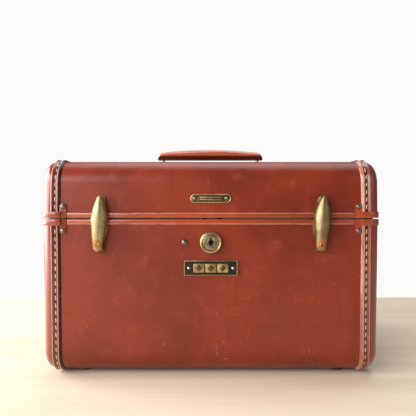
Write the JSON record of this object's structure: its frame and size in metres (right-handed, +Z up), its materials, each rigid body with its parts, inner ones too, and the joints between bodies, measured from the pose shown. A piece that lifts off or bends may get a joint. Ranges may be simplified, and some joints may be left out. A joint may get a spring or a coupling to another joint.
{
  "type": "makeup train case",
  "caption": "Vintage hard-sided makeup train case with a hinged lid, lever latches, key lock, top handle, stitched bindings, mirror, lift-out tray and lid stay.",
  "frame": {"origin": "middle of the footprint on the floor, under the feet", "axes": "+X along the case to its right-hand end seen from the front, -Y towards the front with the latches, +Z up"},
  "size_m": [0.33, 0.2298, 0.2322],
  "materials": {
    "cover_leather": "smooth aged red-brown leather-look covering, satin with fine scuffs",
    "rim_leather": "glossy orange-brown leather-look hoop with worn pale edges",
    "binding_leather": "stitched leather binding with cream thread",
    "strap_leather": "glossy leather strap with worn edges",
    "handle_leather": "dark polished leather over a formed core",
    "brass": "aged brass with patina",
    "dark_brass": "darkened brass",
    "steel": "nickel-plated steel, worn",
    "black_enamel": "black enamel",
    "lining_fabric": "woven tan lining",
    "pocket_fabric": "gathered satin",
    "tray_fabric": "fabric-covered board",
    "mirror_glass": "silvered glass",
    "foot_metal": "domed metal glides with flat bottoms",
    "wood": "fabric-faced strip"
  },
  "bodies": {
    "base": {"base_wrap": "cover_leather", "base_end_left": "cover_leather", "base_end_right": "cover_leather", "base_rim": "rim_leather", "base_lip": "steel", "binding_base_left": "binding_leather", "binding_base_right": "binding_leather", "strap_base_left": "strap_leather", "strap_base_right": "strap_leather", "strap_rivets_base": "steel", "feet": "foot_metal", "latch_plate_left": "brass", "latch_plate_right": "brass", "lever_pins": "steel", "lock_ring": "brass", "lock_case": "steel", "lock_stud": "steel", "initials_plate": "black_enamel", "initials_tiles": "brass", "initials_pins": "steel", "hinge_leaves_base": "steel", "hinge_pins": "steel", "base_lining": "lining_fabric", "back_pocket": "pocket_fabric", "tray_ledges": "wood", "stay_stud": "steel"},
    "lid": {"lid_wrap": "cover_leather", "lid_end_left": "cover_leather", "lid_end_right": "cover_leather", "lid_rim": "rim_leather", "binding_lid_left": "binding_leather", "binding_lid_right": "binding_leather", "strap_lid_left": "strap_leather", "strap_lid_right": "strap_leather", "strap_rivets_lid": "steel", "latch_keepers": "brass", "lid_strike": "steel", "badge": "brass", "badge_rivets": "dark_brass", "handle_brackets": "steel", "handle_pins": "steel", "hinge_leaves_lid": "steel", "lid_lining": "lining_fabric", "mirror_frame": "lining_fabric", "mirror": "mirror_glass", "stay_pivot": "steel"},
    "lever_left": {"lever_left": "brass", "link_pin_left": "steel"},
    "lever_right": {"lever_right": "brass", "link_pin_right": "steel"},
    "link_left": {"link_left": "steel"},
    "link_right": {"link_right": "steel"},
    "handle": {"handle_grip": "handle_leather", "handle_tangs": "steel"},
    "lock_cylinder": {"lock_cylinder": "brass"},
    "lock_bolt": {"lock_bolt": "steel"},
    "stay_arm": {"stay_arm": "steel"},
    "tray": {"tray": "tray_fabric", "tray_dividers": "tray_fabric", "tray_grips": "brass"}
  },
  "joints": [
    {"name": "lid_open", "type": "hinge", "parent": "base", "child": "lid", "pos_m": [0, 0.11215, 0.1533], "axis": [-1, 0, 0], "range_deg": [0, 100]},
    {"name": "lever_left_open", "type": "hinge", "parent": "base", "child": "lever_left", "pos_m": [-0.10811, -0.10865, 0.12444], "axis": [0.9986, 0, -0.0523], "range_deg": [0, 110]},
    {"name": "lever_right_open", "type": "hinge", "parent": "base", "child": "lever_right", "pos_m": [0.10509, -0.10865, 0.12444], "axis": [0.9986, 0, -0.0523], "range_deg": [0, 110]},
    {"name": "link_left_swing", "type": "hinge", "parent": "lever_left", "child": "link_left", "pos_m": [-0.10733, -0.10865, 0.13932], "axis": [0.9986, 0, -0.0523], "range_deg": [-56, 0]},
    {"name": "link_right_swing", "type": "hinge", "parent": "lever_right", "child": "link_right", "pos_m": [0.10587, -0.10865, 0.13932], "axis": [0.9986, 0, -0.0523], "range_deg": [-56, 0]},
    {"name": "handle_swing", "type": "hinge", "parent": "lid", "child": "handle", "pos_m": [0, 0.00255, 0.2155], "axis": [1, 0, 0], "range_deg": [-55, 55]},
    {"name": "key_turn", "type": "hinge", "parent": "base", "child": "lock_cylinder", "pos_m": [0, -0.10345, 0.1304], "axis": [0, 1, 0], "range_deg": [0, 90]},
    {"name": "bolt_slide", "type": "slide", "parent": "base", "child": "lock_bolt", "axis": [1, 0, 0], "range_m": [0, 0.0061]},
    {"name": "stay_swing", "type": "hinge", "parent": "lid", "child": "stay_arm", "pos_m": [0.15625, 0.03782, 0.1633], "axis": [-1, 0, 0], "range_deg": [-51, 0]},
    {"name": "tray_lift", "type": "slide", "parent": "base", "child": "tray", "axis": [0, 0, 1], "range_m": [0, 0.03]}
  ],
  "couplings": [
    {"joint": "link_left_swing", "follows": "lever_left_open", "ratio": -0.5},
    {"joint": "link_right_swing", "follows": "lever_right_open", "ratio": -0.5},
    {"joint": "bolt_slide", "follows": "key_turn", "m_per_rad": 0.0038197},
    {"joint": "stay_swing", "follows": "lid_open", "ratio": -0.5}
  ]
}
